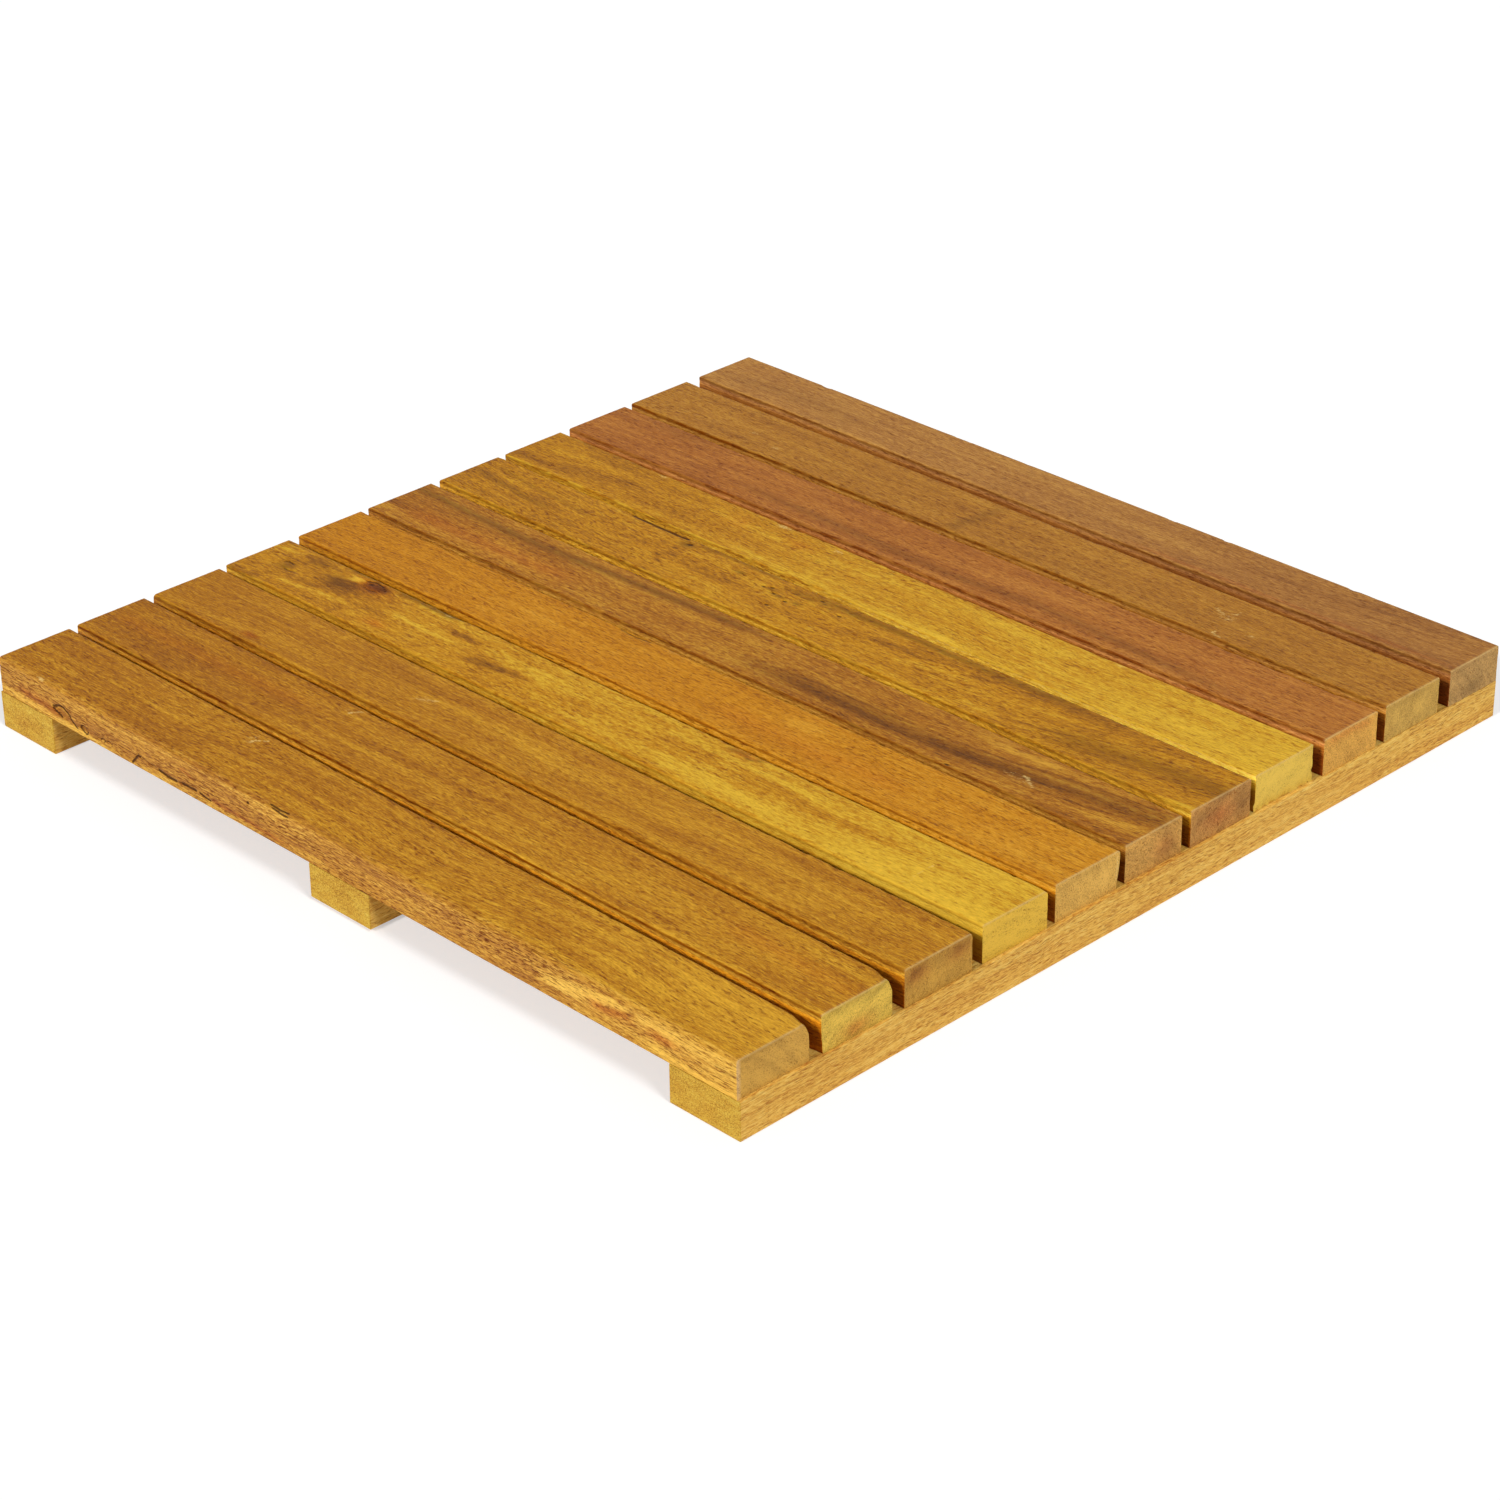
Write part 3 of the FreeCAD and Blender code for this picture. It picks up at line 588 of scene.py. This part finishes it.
def shown(mark, u, v):
    """How strongly a mark shows at each place."""
    channel, amount, points, size, tilt = mark
    if len(points) == 1:
        lean = math.radians(tilt)
        du = (u - points[0][0]) * math.cos(lean) + (v - points[0][1]) * math.sin(lean)
        dv = (v - points[0][1]) * math.cos(lean) - (u - points[0][0]) * math.sin(lean)
        return amount * np.exp(-((du / size[0]) ** 2 + (dv / size[1]) ** 2))
    lengths = [math.dist(a, b) for a, b in zip(points, points[1:])]
    whole = sum(lengths)
    best = np.zeros_like(u)
    done = 0
    for (u0, v0), (u1, v1), length in zip(points, points[1:], lengths):
        share = np.clip(((u - u0) * (u1 - u0) + (v - v0) * (v1 - v0)) / length ** 2, 0, 1)
        away = np.hypot(u - u0 - share * (u1 - u0), v - v0 - share * (v1 - v0))
        run = done + share * length
        fade = np.clip(np.minimum(run, whole - run) / (0.15 * whole) + (0.6 if channel == "crack" else 0.25), 0, 1)
        best = np.maximum(best, fade * np.exp(-(away / size[0]) ** 2))
        done += length
    return amount * best


def marks_on(slat, look, u, v, w):
    """The channels' strengths at each place on a slat."""
    found = {channel: np.zeros_like(u) for channel in CHANNELS}
    stray_u = 3.0 * rough(u / 9, v / 3, w / 3, slat.seed)
    stray_v = 0.9 * rough(u / 12, v / 3, w / 3, slat.seed + 5)
    on_top = smooth(w, slat.thick - 4, slat.thick - 1.5)
    on_front = 1 - smooth(v, 1.2, 2.6)
    on_end = smooth(u, slat.length - 0.5, slat.length - 0.2)
    for marks, along, across, weight in ((look.top, u, v, on_top), (look.front, u, w, on_front), (look.end, v, w, on_end)):
        for mark in marks:
            stray = 0.2 if mark[0] == "crack" else 1
            strength = weight * shown(mark, along + stray * stray_u, across + stray * stray_v)
            found[mark[0]] = np.maximum(found[mark[0]], strength)
    return found


def grain_of(slat, look, u, v, w):
    """Where each place is in the tree: along it, out from its heart, and round it."""
    flow_u, flow_v = zip(*look.flow)
    heart = np.interp(u, flow_u, flow_v) + 2.0 * noise(u / 95, 0, 0, slat.seed + 9)
    across = v - look.pith[0] - heart
    up = w - look.pith[1] - 1.5 * noise(u / 120, 0, 5, slat.seed + 10)
    reach = np.hypot(across, up)
    wobble = 0.8 * noise(u / 30, v / 9, w / 9, slat.seed + 11)
    return u, reach + wobble, np.arctan2(across, up) * np.hypot(*look.pith)


def relief(slat, u, v, w, found, on_end):
    """How far the surface lies below the plain form: waves, nicks, cracks, saw marks."""
    waves = 0.06 + 0.06 * rough(u / 70, v / 12, w / 12, slat.seed + 20)
    fibres = 0.03 + 0.03 * noise(u / 9, v / 1.6, w / 1.6, slat.seed + 21)
    arris = np.exp(-(np.minimum(v, slat.width - v) / 1.6) ** 2) * smooth(w, slat.thick - 3, slat.thick)
    nicks = arris * smooth(rough(u / 6, v / 5, 0, slat.seed + 22), 0.2, 0.8) * 0.4
    saw = on_end * (0.06 + 0.06 * np.sin(v * 1.9 + w * 0.9 + 2 * noise(v / 9, w / 5, 0, slat.seed + 23)))
    return waves + fibres + nicks + saw + 0.45 * np.clip(found["crack"], 0, 1) + 0.1 * found["scuff"]


def pockets(u, w):
    """How deep the bark pockets are at each place on slat_01's front."""
    depth = np.zeros_like(u)
    for at, up, length, height, deepest, tilt in BARK_POCKETS:
        lean = math.radians(tilt)
        du = (u - at) * math.cos(lean) + (w - up) * math.sin(lean)
        dw = (w - up) * math.cos(lean) - (u - at) * math.sin(lean)
        reach = np.hypot(2 * du / length, 2 * dw / height)
        depth = np.maximum(depth, deepest * (1 - smooth(reach, 0.3, 1)))
    return depth


def cut_corner(u, v, w, reach, depth):
    """Moves what lies in a broken corner, with its sizes in reach, onto the break."""
    slope = 1 / np.asarray(reach, float)
    short = 1 - (u * slope[0] + v * slope[1] + w * slope[2]) + depth
    short = np.clip(short, 0, None) / (slope @ slope)
    return short * slope[0], short * slope[1], short * slope[2]


def set_attribute(mesh, name, values, kind="FLOAT", field="value"):
    """Gives each vertex of a mesh a number or a vector."""
    mesh.attributes.new(name, kind, "POINT").data.foreach_set(field, np.ascontiguousarray(values, np.float32).ravel())


def at_place(ends, share):
    """A value that runs from its left to its right number."""
    return ends[0] + share * (ends[1] - ends[0])


def make_slat(name):
    """A slat with eased edges, relief, its marks and the light and shade painted in its gaps, over the solid of that
    name.
    """
    slat = Slat(name)
    look = LOOKS[name]
    round_front, round_back = slat.front_radius, slat.back_radius
    step_along, step_across, step_up = FINE_STEPS.get(name, STEPS)
    along = stations(slat.length, step_along, (0, 0.3, END_BEVEL, 1.2, 2), (0, 0.3, END_BEVEL, 1.2, 2))
    across = stations(slat.width, step_across, np.linspace(0, round_front, 4), np.linspace(0, round_back, 4))
    edge_rows = np.append(np.linspace(0, max(round_front, round_back), 5), SIDE_ROWS)
    up = stations(slat.thick, step_up, (0, BOTTOM_BEVEL / 2, BOTTOM_BEVEL), edge_rows)
    if name == "slat_01":
        first, last, step = CRACKED
        along = np.union1d(along[(along < first) | (along > last)], np.arange(first, last, step))
    skin, quads = box_skin((len(along), len(across), len(up)))
    u, v, w = (grid[skin] for grid in np.meshgrid(along, across, up, indexing="ij"))
    on_end = np.where((u < 0.1) | (u > slat.length - 0.1), 1.0, 0.0)

    top = slat.thick
    sv, sw = rounded(v, w, round_front, (round_front, top - round_front), -1, 1)
    sv, sw = rounded(sv, sw, round_back, (slat.width - round_back, top - round_back), 1, 1)
    sv, sw = rounded(sv, sw, BOTTOM_BEVEL, (BOTTOM_BEVEL, BOTTOM_BEVEL), -1, -1)
    sv, sw = rounded(sv, sw, BOTTOM_BEVEL, (slat.width - BOTTOM_BEVEL, BOTTOM_BEVEL), 1, -1)
    su, sw = rounded(u, sw, END_BEVEL, (END_BEVEL, top - END_BEVEL), -1, 1)
    su, sw = rounded(su, sw, END_BEVEL, (slat.length - END_BEVEL, top - END_BEVEL), 1, 1)

    found = marks_on(slat, look, u, v, w)
    fade = 1 - on_end
    side = (1 - smooth(v, 0.8, 2)) * fade
    depth = top - sw
    share = u / slat.length
    # The rim: a darker band along the top of the front side, at its given depth.
    rim_depth = look.rim[2]
    low_edge = smooth(depth, max(rim_depth - 0.85, -0.05), rim_depth - 0.4)
    low_edge = low_edge * (1 - smooth(depth, rim_depth + 0.4, rim_depth + 0.9))
    rim = side * low_edge * at_place(look.rim, share) * (1 + 0.12 * noise(u / 40, 0, 0, slat.seed + 40))
    # A dark line along the back edge's rounding: painted shade where the gap's shadow line falls, with some dark
    # grime. slat_11's back faces no gap and goes without it.
    turn = slat.width - 0.39 * round_back
    back_edge_shade_and_grime = 0.45 * smooth(sv, turn, turn + 0.3) * fade
    if name != "slat_11":
        rim = np.maximum(rim, back_edge_shade_and_grime)
    # Painted lamp light: a brighter band on the front side in the gap, from a given depth down to about 4 mm, where
    # the lamp's shadow begins.
    painted_lit_from = look.painted_lit_band[2]
    painted_lit_band = side * at_place(look.painted_lit_band, share) * smooth(depth, painted_lit_from, painted_lit_from + 1) * (1 - smooth(depth, 3.3, 4.5))
    # Painted fill light: below about 4 mm, in the lamp's shadow, the front side in the gap made lighter and redder.
    amber = side * at_place(look.amber, share) * smooth(depth, 3.1, 4.3)
    lit = side * smooth(depth, 2.4, 3.4)
    # Painted shade: the front and back sides darker deep in the gaps, from 5 to 8.5 mm down, and on some slats from a
    # given depth.
    painted_gap_shade_from, painted_gap_shade = look.painted_gap_shade
    deep = np.maximum(side, smooth(v, slat.width - 2, slat.width - 0.8) * fade)
    deep = deep * np.maximum(painted_gap_shade * smooth(depth, painted_gap_shade_from - 0.4, painted_gap_shade_from + 0.4), smooth(depth, 5, 8.5))
    # The painted shade falls only on sides that face a gap: slat_01 keeps it on its back, slat_11 on its front.
    if name == "slat_01":
        deep = deep * (v > slat.width / 2)
    if name == "slat_11":
        deep = deep * (v < slat.width / 2)
    found["red"] = np.maximum(found["red"], side * look.warm * smooth(depth, 0.9, 1.7))
    places = np.stack([su, sv, sw], -1)
    places -= normals(places, quads) * relief(slat, u, v, w, found, on_end)[:, None]
    if name == "slat_01":
        places[:, 1] += np.where(v < 0.5, pockets(u, w), 0)
    torn = 0.25 * rough(u / 4, v / 1.2, w / 2, slat.seed + 30)
    if name == "slat_02":
        du, dv, dw = cut_corner(slat.length - places[:, 0], places[:, 1], places[:, 2], CHIP, torn)
        places += np.stack([-du, dv, dw], -1)
    if name == "slat_05":
        du, dv, dw = cut_corner(slat.length - places[:, 0], slat.width - places[:, 1], places[:, 2], TEAR, torn)
        places += np.stack([-du, -dv, dw], -1)
    if name in ("slat_01", "slat_02"):
        fall = smooth(u, slat.length - 11, slat.length) * smooth(v, slat.width - 7, slat.width) * smooth(w, 12, top)
        places -= fall[:, None] * (1.2, 1.4, 0.7)
    if name == "slat_08":
        ragged = smooth(u, slat.length - 3, slat.length) * np.clip(smooth(6 - w, 0, 5) + smooth(v, 35, 40), 0, 1)
        places[:, 0] -= ragged * (0.7 + 0.7 * noise(u, v / 1.3, w / 1.6, slat.seed + 31))

    front = at_place(slat.front, share)
    back = at_place(slat.back, share)
    y = front + places[:, 1] / slat.width * (back - front)
    world = np.stack([slat.left + places[:, 0], y, slat.base + places[:, 2]], -1) * MM

    mesh = bpy.data.meshes.new(f"{name}_board")
    mesh.from_pydata(world.tolist(), [], quads.tolist())
    set_attribute(mesh, "grain", np.stack(grain_of(slat, look, u, v, w), -1), "FLOAT_VECTOR", "vector")
    drift = np.interp(u, *zip(*look.tone))
    set_attribute(mesh, "tone", drift + 0.35 * found["light"] - 0.35 * found["dark"])
    set_attribute(mesh, "rim", rim)
    set_attribute(mesh, "painted_lit_band", painted_lit_band)
    set_attribute(mesh, "amber", amber)
    set_attribute(mesh, "lit", np.zeros_like(lit) if name == "slat_01" else lit)
    set_attribute(mesh, "deep", deep)
    for channel in ("red", "pink", "stain", "scuff", "crack"):
        set_attribute(mesh, channel, found[channel])
    set_attribute(mesh, "end", on_end)
    edge = np.exp(-(np.minimum(v, slat.width - v) / 1.3) ** 2) * smooth(w, top - 2.5, top)
    set_attribute(mesh, "arris", edge)
    bevel = np.exp(-((slat.length - u) / 0.7) ** 2) * smooth(w, top - 1.3, top - 0.4)
    set_attribute(mesh, "bevel", bevel * (0.75 + 0.25 * noise(v / 3, u, 0, slat.seed + 41)))
    mesh.shade_smooth()
    mesh.set_sharp_from_angle(angle=math.radians(SHARP_ANGLE))
    board = bpy.data.objects.new(f"{name}_board", mesh)
    bpy.context.scene.collection.objects.link(board)
    mesh.materials.append(wood_material(f"{name}_wood", look.wood, look.pores, look.streaks, look.arris, slat.seed, look.cut))
    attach(board, "root")
    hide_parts(name)


# Materials

def linear(code):
    """A colour as a shader takes it, from its six hex digits on screen."""
    channels = [int(code[i:i + 2], 16) / 255 for i in (0, 2, 4)]
    return [c / 12.92 if c <= 0.04045 else ((c + 0.055) / 1.055) ** 2.4 for c in channels] + [1]


def shaded(code, factor):
    """A screen colour made lighter or darker."""
    return [channel * factor for channel in linear(code)[:3]] + [1]


class Shader:
    """A material's nodes, built one after another."""

    def __init__(self, name):
        self.material = bpy.data.materials.new(name)
        self.material.use_nodes = True
        self.tree = self.material.node_tree
        self.tree.nodes.clear()

    def node(self, kind, **settings):
        made = self.tree.nodes.new("ShaderNode" + kind)
        for key, value in settings.items():
            setattr(made, key, value)
        return made

    def feed(self, socket, value):
        if isinstance(value, bpy.types.NodeSocket):
            self.tree.links.new(value, socket)
        else:
            socket.default_value = value

    def math(self, operation, *values):
        made = self.node("Math", operation=operation)
        for socket, value in zip(made.inputs, values):
            self.feed(socket, value)
        return made.outputs[0]

    def sum(self, first, *others):
        for other in others:
            first = self.math("ADD", first, other)
        return first

    def part(self, value, amount, middle=0.0):
        """(value - middle) times amount."""
        return self.math("MULTIPLY", self.math("SUBTRACT", value, middle), amount)

    def attribute(self, name, output="Fac"):
        return self.node("Attribute", attribute_name=name).outputs[output]

    def noise(self, vector, sizes, detail=2.0, roughness=0.5, offset=0.0):
        """Noise from 0 to 1, with its cell sizes along the vector's three axes."""
        scaled = self.node("VectorMath", operation="MULTIPLY_ADD")
        self.feed(scaled.inputs[0], vector)
        scaled.inputs[1].default_value = [1 / size for size in sizes]
        scaled.inputs[2].default_value = (offset, offset * 1.7, offset * 2.3)
        made = self.node("TexNoise")
        self.feed(made.inputs["Vector"], scaled.outputs[0])
        made.inputs["Scale"].default_value = 1
        made.inputs["Detail"].default_value = detail
        made.inputs["Roughness"].default_value = roughness
        return made.outputs["Fac"]

    def step(self, value, low, high, to_low=0.0, to_high=1.0):
        """A soft step between two values."""
        made = self.node("MapRange", interpolation_type="SMOOTHSTEP")
        self.feed(made.inputs["Value"], value)
        made.inputs["From Min"].default_value = low
        made.inputs["From Max"].default_value = high
        made.inputs["To Min"].default_value = to_low
        made.inputs["To Max"].default_value = to_high
        return made.outputs[0]

    def mix(self, share, first, second, blend="MIX"):
        made = self.node("Mix", data_type="RGBA", blend_type=blend)
        self.feed(made.inputs[0], share)
        self.feed(made.inputs[6], first)
        self.feed(made.inputs[7], second)
        return made.outputs[2]

    def ramp(self, value, stops):
        made = self.node("ValToRGB")
        self.feed(made.inputs[0], value)
        points = made.color_ramp.elements
        while len(points) < len(stops):
            points.new(0.5)
        for point, (place, colour) in zip(points, stops):
            point.position = place
            point.color = colour
        return made.outputs[0]

    def finish(self, colour, roughness, specular, bump_height=None, bump_depth=0.0002, metallic=0.0):
        surface = self.node("BsdfPrincipled")
        self.feed(surface.inputs["Base Color"], colour)
        self.feed(surface.inputs["Roughness"], roughness)
        surface.inputs["Specular IOR Level"].default_value = specular
        surface.inputs["Metallic"].default_value = metallic
        if bump_height is not None:
            bump = self.node("Bump")
            bump.inputs["Distance"].default_value = bump_depth
            self.feed(bump.inputs["Height"], bump_height)
            self.feed(surface.inputs["Normal"], bump.outputs[0])
        output = self.node("OutputMaterial")
        self.feed(output.inputs["Surface"], surface.outputs[0])
        return self.material


def wood_material(name, wood, pores, streaks, arris, seed, cut=None, grain=None):
    """Oiled hardwood: streaks and fibres along the grain, dark pores, the marks, and painted light and shade on the
    sides in the gaps.
    """
    s = Shader(name)
    if grain is None:
        grain = s.attribute("grain", "Vector")
    else:
        grain = grain(s)
    dark, middle, light = (linear(code) for code in WOODS[wood])
    shift = seed * 3.1
    streak = s.noise(grain, (200, 3.0, 14), 3, 0.55, shift)
    line = s.noise(grain, (60, 0.8, 2.4), 5, 0.8, shift + 5)
    fibre = s.noise(grain, (4.6, 0.55, 0.7), 3, 0.8, shift + 9)
    patch = s.noise(grain, (45, 9, 12), 3, 0.55, shift + 13)
    tone = s.sum(
        s.attribute("tone"), 0.5,
        s.part(streak, 0.62 * streaks, 0.5),
        s.part(line, 0.5 * streaks + 0.2, 0.5),
        s.part(fibre, 1.7, 0.5),
        s.part(patch, 0.45, 0.5),
    )
    depth = s.math("ADD", s.part(tone, 0.625, 0.5), 0.5)
    colour = s.ramp(depth, ((0.0, [0.6 * c for c in dark]), (0.25, dark), (0.5, middle), (0.75, light), (1.0, [1.25 * c for c in light])))
    stain = s.math("MULTIPLY", s.attribute("stain"), s.step(line, 0.3, 0.7, 0.45, 1.0))
    stain = s.math("MULTIPLY", stain, s.step(fibre, 0.35, 0.65, 0.6, 1.1))
    if cut:
        sawn = s.ramp(tone, ((0.15, shaded(cut, 0.64)), (0.5, shaded(cut, 1.0)), (0.85, shaded(cut, 1.3))))
        colour = s.mix(s.math("MULTIPLY", s.attribute("end"), 0.85), colour, sawn)
    colour = s.mix(s.attribute("red"), colour, (0.95, 0.62, 0.6, 1), "MULTIPLY")
    colour = s.mix(s.attribute("pink"), colour, (1.2, 1.38, 3.0, 1), "MULTIPLY")
    colour = s.mix(stain, colour, (0.37, 0.35, 0.43, 1), "MULTIPLY")

    specks = s.noise(grain, (4.0, 0.6, 0.7), 1.5, 0.5, shift + 17)
    crowd = s.step(s.noise(grain, (60, 6, 9), 2, 0.5, shift + 19), 0.3, 0.7, 0.55, 1.0)
    crowd = s.math("MULTIPLY", crowd, s.step(tone, 0.5, 0.9, 1.0, 0.25))
    specks = s.sum(specks, s.part(s.attribute("pink"), 0.04))
    pore = s.math("MULTIPLY", s.step(specks, 0.55, 0.66), s.math("MULTIPLY", crowd, pores))
    colour = s.mix(pore, colour, (0.56, 0.38, 0.28, 1), "MULTIPLY")
    colour = s.mix(s.math("MULTIPLY", pore, s.attribute("pink")), colour, (0.7, 0.6, 0.6, 1), "MULTIPLY")

    # Painted light and shade on the sides in the gaps: a yellower lower front side, a band of painted lamp light, a
    # lighter, redder painted fill in the lamp's shade below it, and painted shade deep down.
    colour = s.mix(s.attribute("lit"), colour, (1.0, 1.0, 0.9, 1), "MULTIPLY")
    colour = s.mix(s.attribute("painted_lit_band"), colour, (1.8, 2.1, 3.2, 1), "MULTIPLY")
    colour = s.mix(s.attribute("amber"), colour, (1.7, 1.4, 0.75, 1), "MULTIPLY")
    colour = s.mix(s.attribute("deep"), colour, (0.4, 0.26, 0.2, 1), "MULTIPLY")
    # The rim's dark band along the top of the front side, and the painted shadow line with dark grime along the back
    # edge.
    colour = s.mix(s.attribute("rim"), colour, (0.42, 0.22, 0.0, 1), "MULTIPLY")
    if cut is None:
        split = s.node("SeparateXYZ")
        s.feed(split.inputs[0], s.node("TexCoord").outputs["Object"])
        front_end = s.step(split.outputs[1], BATTEN_FRONT, BATTEN_FRONT + 0.0005, 1.0, 0.0)
        colour = s.mix(front_end, colour, (0.84, 0.87, 0.56, 1), "MULTIPLY")

    worn = s.math("MULTIPLY", s.attribute("arris"), s.step(s.noise(grain, (14, 3, 3), 3, 0.6, shift + 23), 0.45, 0.6))
    colour = s.mix(s.math("MULTIPLY", worn, arris), colour, light)
    colour = s.mix(s.math("MULTIPLY", s.attribute("bevel"), 0.55), colour, linear("cfae74"))

    scratch = s.noise(grain, (1.8, 0.6, 0.9), 3, 0.7, shift + 27)
    scuff = s.step(s.math("ADD", s.attribute("scuff"), s.part(scratch, 1.8, 0.5)), 0.4, 1.15)
    colour = s.mix(s.math("MULTIPLY", scuff, 0.7), colour, linear("f0d183"))
    crack = s.step(s.math("ADD", s.attribute("crack"), s.part(scratch, 0.2, 0.5)), 0.35, 0.7)
    colour = s.mix(s.math("MULTIPLY", crack, 0.85), colour, linear("3c1c0a"))

    roughness = s.step(s.sum(s.part(line, 0.6), s.part(scuff, 0.5)), 0.1, 0.9, 0.46, 0.66)
    height = s.sum(s.part(fibre, 0.5), s.part(line, 0.4), s.part(pore, -0.8), s.part(crack, -1.5))
    return s.finish(colour, roughness, 0.045, height, 0.00025)


def batten_grain(s):
    """The grain of a batten, along Y, in millimetres and a little wavy."""
    place = s.node("TexCoord").outputs["Object"]
    split = s.node("SeparateXYZ")
    s.feed(split.inputs[0], place)
    wave = s.noise(place, (0.06, 0.05, 0.02), 2, 0.5, 3.0)
    made = s.node("CombineXYZ")
    s.feed(made.inputs[0], s.part(split.outputs[1], 1000))
    s.feed(made.inputs[1], s.sum(s.part(split.outputs[2], 1000), s.part(wave, 5)))
    s.feed(made.inputs[2], s.part(split.outputs[0], 1000))
    return made.outputs[0]


def dress_battens():
    """Gives each batten its wood."""
    for seed, name in enumerate(("batten_left", "batten_middle", "batten_right")):
        made = wood_material(f"{name}_wood", "batten", 0.75, 1.0, 0.0, 60 + seed, grain=batten_grain)
        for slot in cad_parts[name].material_slots:
            slot.material = made


def dress_screws():
    """Zinc-plated steel for the screws."""
    s = Shader("screw_zinc")
    place = s.node("TexCoord").outputs["Object"]
    patina = s.noise(place, (0.004, 0.004, 0.004), 4, 0.6)
    colour = s.ramp(patina, ((0.3, linear("8f7a3e")), (0.7, linear("d8c68a"))))
    made = s.finish(colour, s.step(patina, 0.3, 0.7, 0.28, 0.5), 0.5, patina, 0.0001, 1.0)
    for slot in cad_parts["slat_screws"].material_slots:
        slot.material = made


# Camera, light and floor

def direction(azimuth, elevation):
    """The way from the tile to a turn and tilt given in degrees."""
    a = math.radians(azimuth)
    e = math.radians(elevation)
    return Vector((math.sin(a) * math.cos(e), -math.cos(a) * math.cos(e), math.sin(e)))


def make_camera():
    back = direction(CAMERA_AZIMUTH, CAMERA_ELEVATION)
    level_right = Vector((0, 0, 1)).cross(back).normalized()
    level_up = back.cross(level_right)
    roll = math.radians(CAMERA_ROLL)
    right = level_right * math.cos(roll) + level_up * math.sin(roll)
    up = level_up * math.cos(roll) - level_right * math.sin(roll)
    lens = bpy.data.cameras.new("camera")
    lens.sensor_width = SENSOR
    lens.lens = FOCAL_LENGTH_PIXELS / IMAGE_SIZE * SENSOR
    lens.clip_start = 0.05
    camera = bpy.data.objects.new("camera", lens)
    turned = Matrix((right, up, back)).transposed().to_4x4()
    camera.matrix_world = Matrix.Translation(Vector(CAMERA_TARGET) + back * CAMERA_DISTANCE) @ turned
    bpy.context.scene.collection.objects.link(camera)
    bpy.context.scene.camera = camera


def make_lamps():
    for name, (azimuth, elevation, softness, strength) in LAMPS.items():
        lamp = bpy.data.lights.new(name, "SUN")
        lamp.energy = strength
        lamp.angle = math.radians(softness)
        stand = bpy.data.objects.new(name, lamp)
        stand.rotation_euler = direction(azimuth, elevation).to_track_quat("Z", "Y").to_euler()
        bpy.context.scene.collection.objects.link(stand)


def seen_directly(tree):
    """1 for what the camera, a reflection or a glass sees, and 0 for light on its way."""
    path = tree.nodes.new("ShaderNodeLightPath")
    seen = path.outputs["Is Camera Ray"]
    for other in ("Is Glossy Ray", "Is Transmission Ray"):
        either = tree.nodes.new("ShaderNodeMath")
        either.operation = "MAXIMUM"
        tree.links.new(seen, either.inputs[0])
        tree.links.new(path.outputs[other], either.inputs[1])
        seen = either.outputs[0]
    return seen


def make_sky():
    """An even white sky, which is full white where the camera or a reflection sees it."""
    world = bpy.data.worlds.new("studio")
    bpy.context.scene.world = world
    world.use_nodes = True
    tree = world.node_tree
    tree.nodes.clear()
    seen = seen_directly(tree)
    light = tree.nodes.new("ShaderNodeBackground")
    light.inputs["Color"].default_value = (1, 1, 1, 1)
    light.inputs["Strength"].default_value = SKY_STRENGTH
    white = tree.nodes.new("ShaderNodeBackground")
    white.inputs["Color"].default_value = (1, 1, 1, 1)
    white.inputs["Strength"].default_value = 1
    either = tree.nodes.new("ShaderNodeMixShader")
    tree.links.new(seen, either.inputs[0])
    tree.links.new(light.outputs[0], either.inputs[1])
    tree.links.new(white.outputs[0], either.inputs[2])
    output = tree.nodes.new("ShaderNodeOutputWorld")
    tree.links.new(either.outputs[0], output.inputs[0])


def make_floor():
    s = Shader("floor_white")
    seen = seen_directly(s.tree)
    s.finish(s.mix(seen, FLOOR_COLOUR, FLOOR_SEEN), 0.9, 0.0)
    surface = s.tree.nodes["Principled BSDF"]
    surface.inputs["Emission Color"].default_value = (1, 1, 1, 1)
    s.feed(surface.inputs["Emission Strength"], s.part(seen, FLOOR_WHITENING))
    half = FLOOR_SIZE / 2
    mesh = bpy.data.meshes.new("floor")
    mesh.from_pydata([(-half, -half, 0), (half, -half, 0), (half, half, 0), (-half, half, 0)], [], [(0, 1, 2, 3)])
    mesh.materials.append(s.material)
    floor = bpy.data.objects.new("floor", mesh)
    bpy.context.scene.collection.objects.link(floor)


def main():
    bpy.context.scene.view_settings.view_transform = "Standard"
    make_camera()
    make_lamps()
    make_sky()
    make_floor()
    for name in LOOKS:
        make_slat(name)
    dress_battens()
    dress_screws()


main()
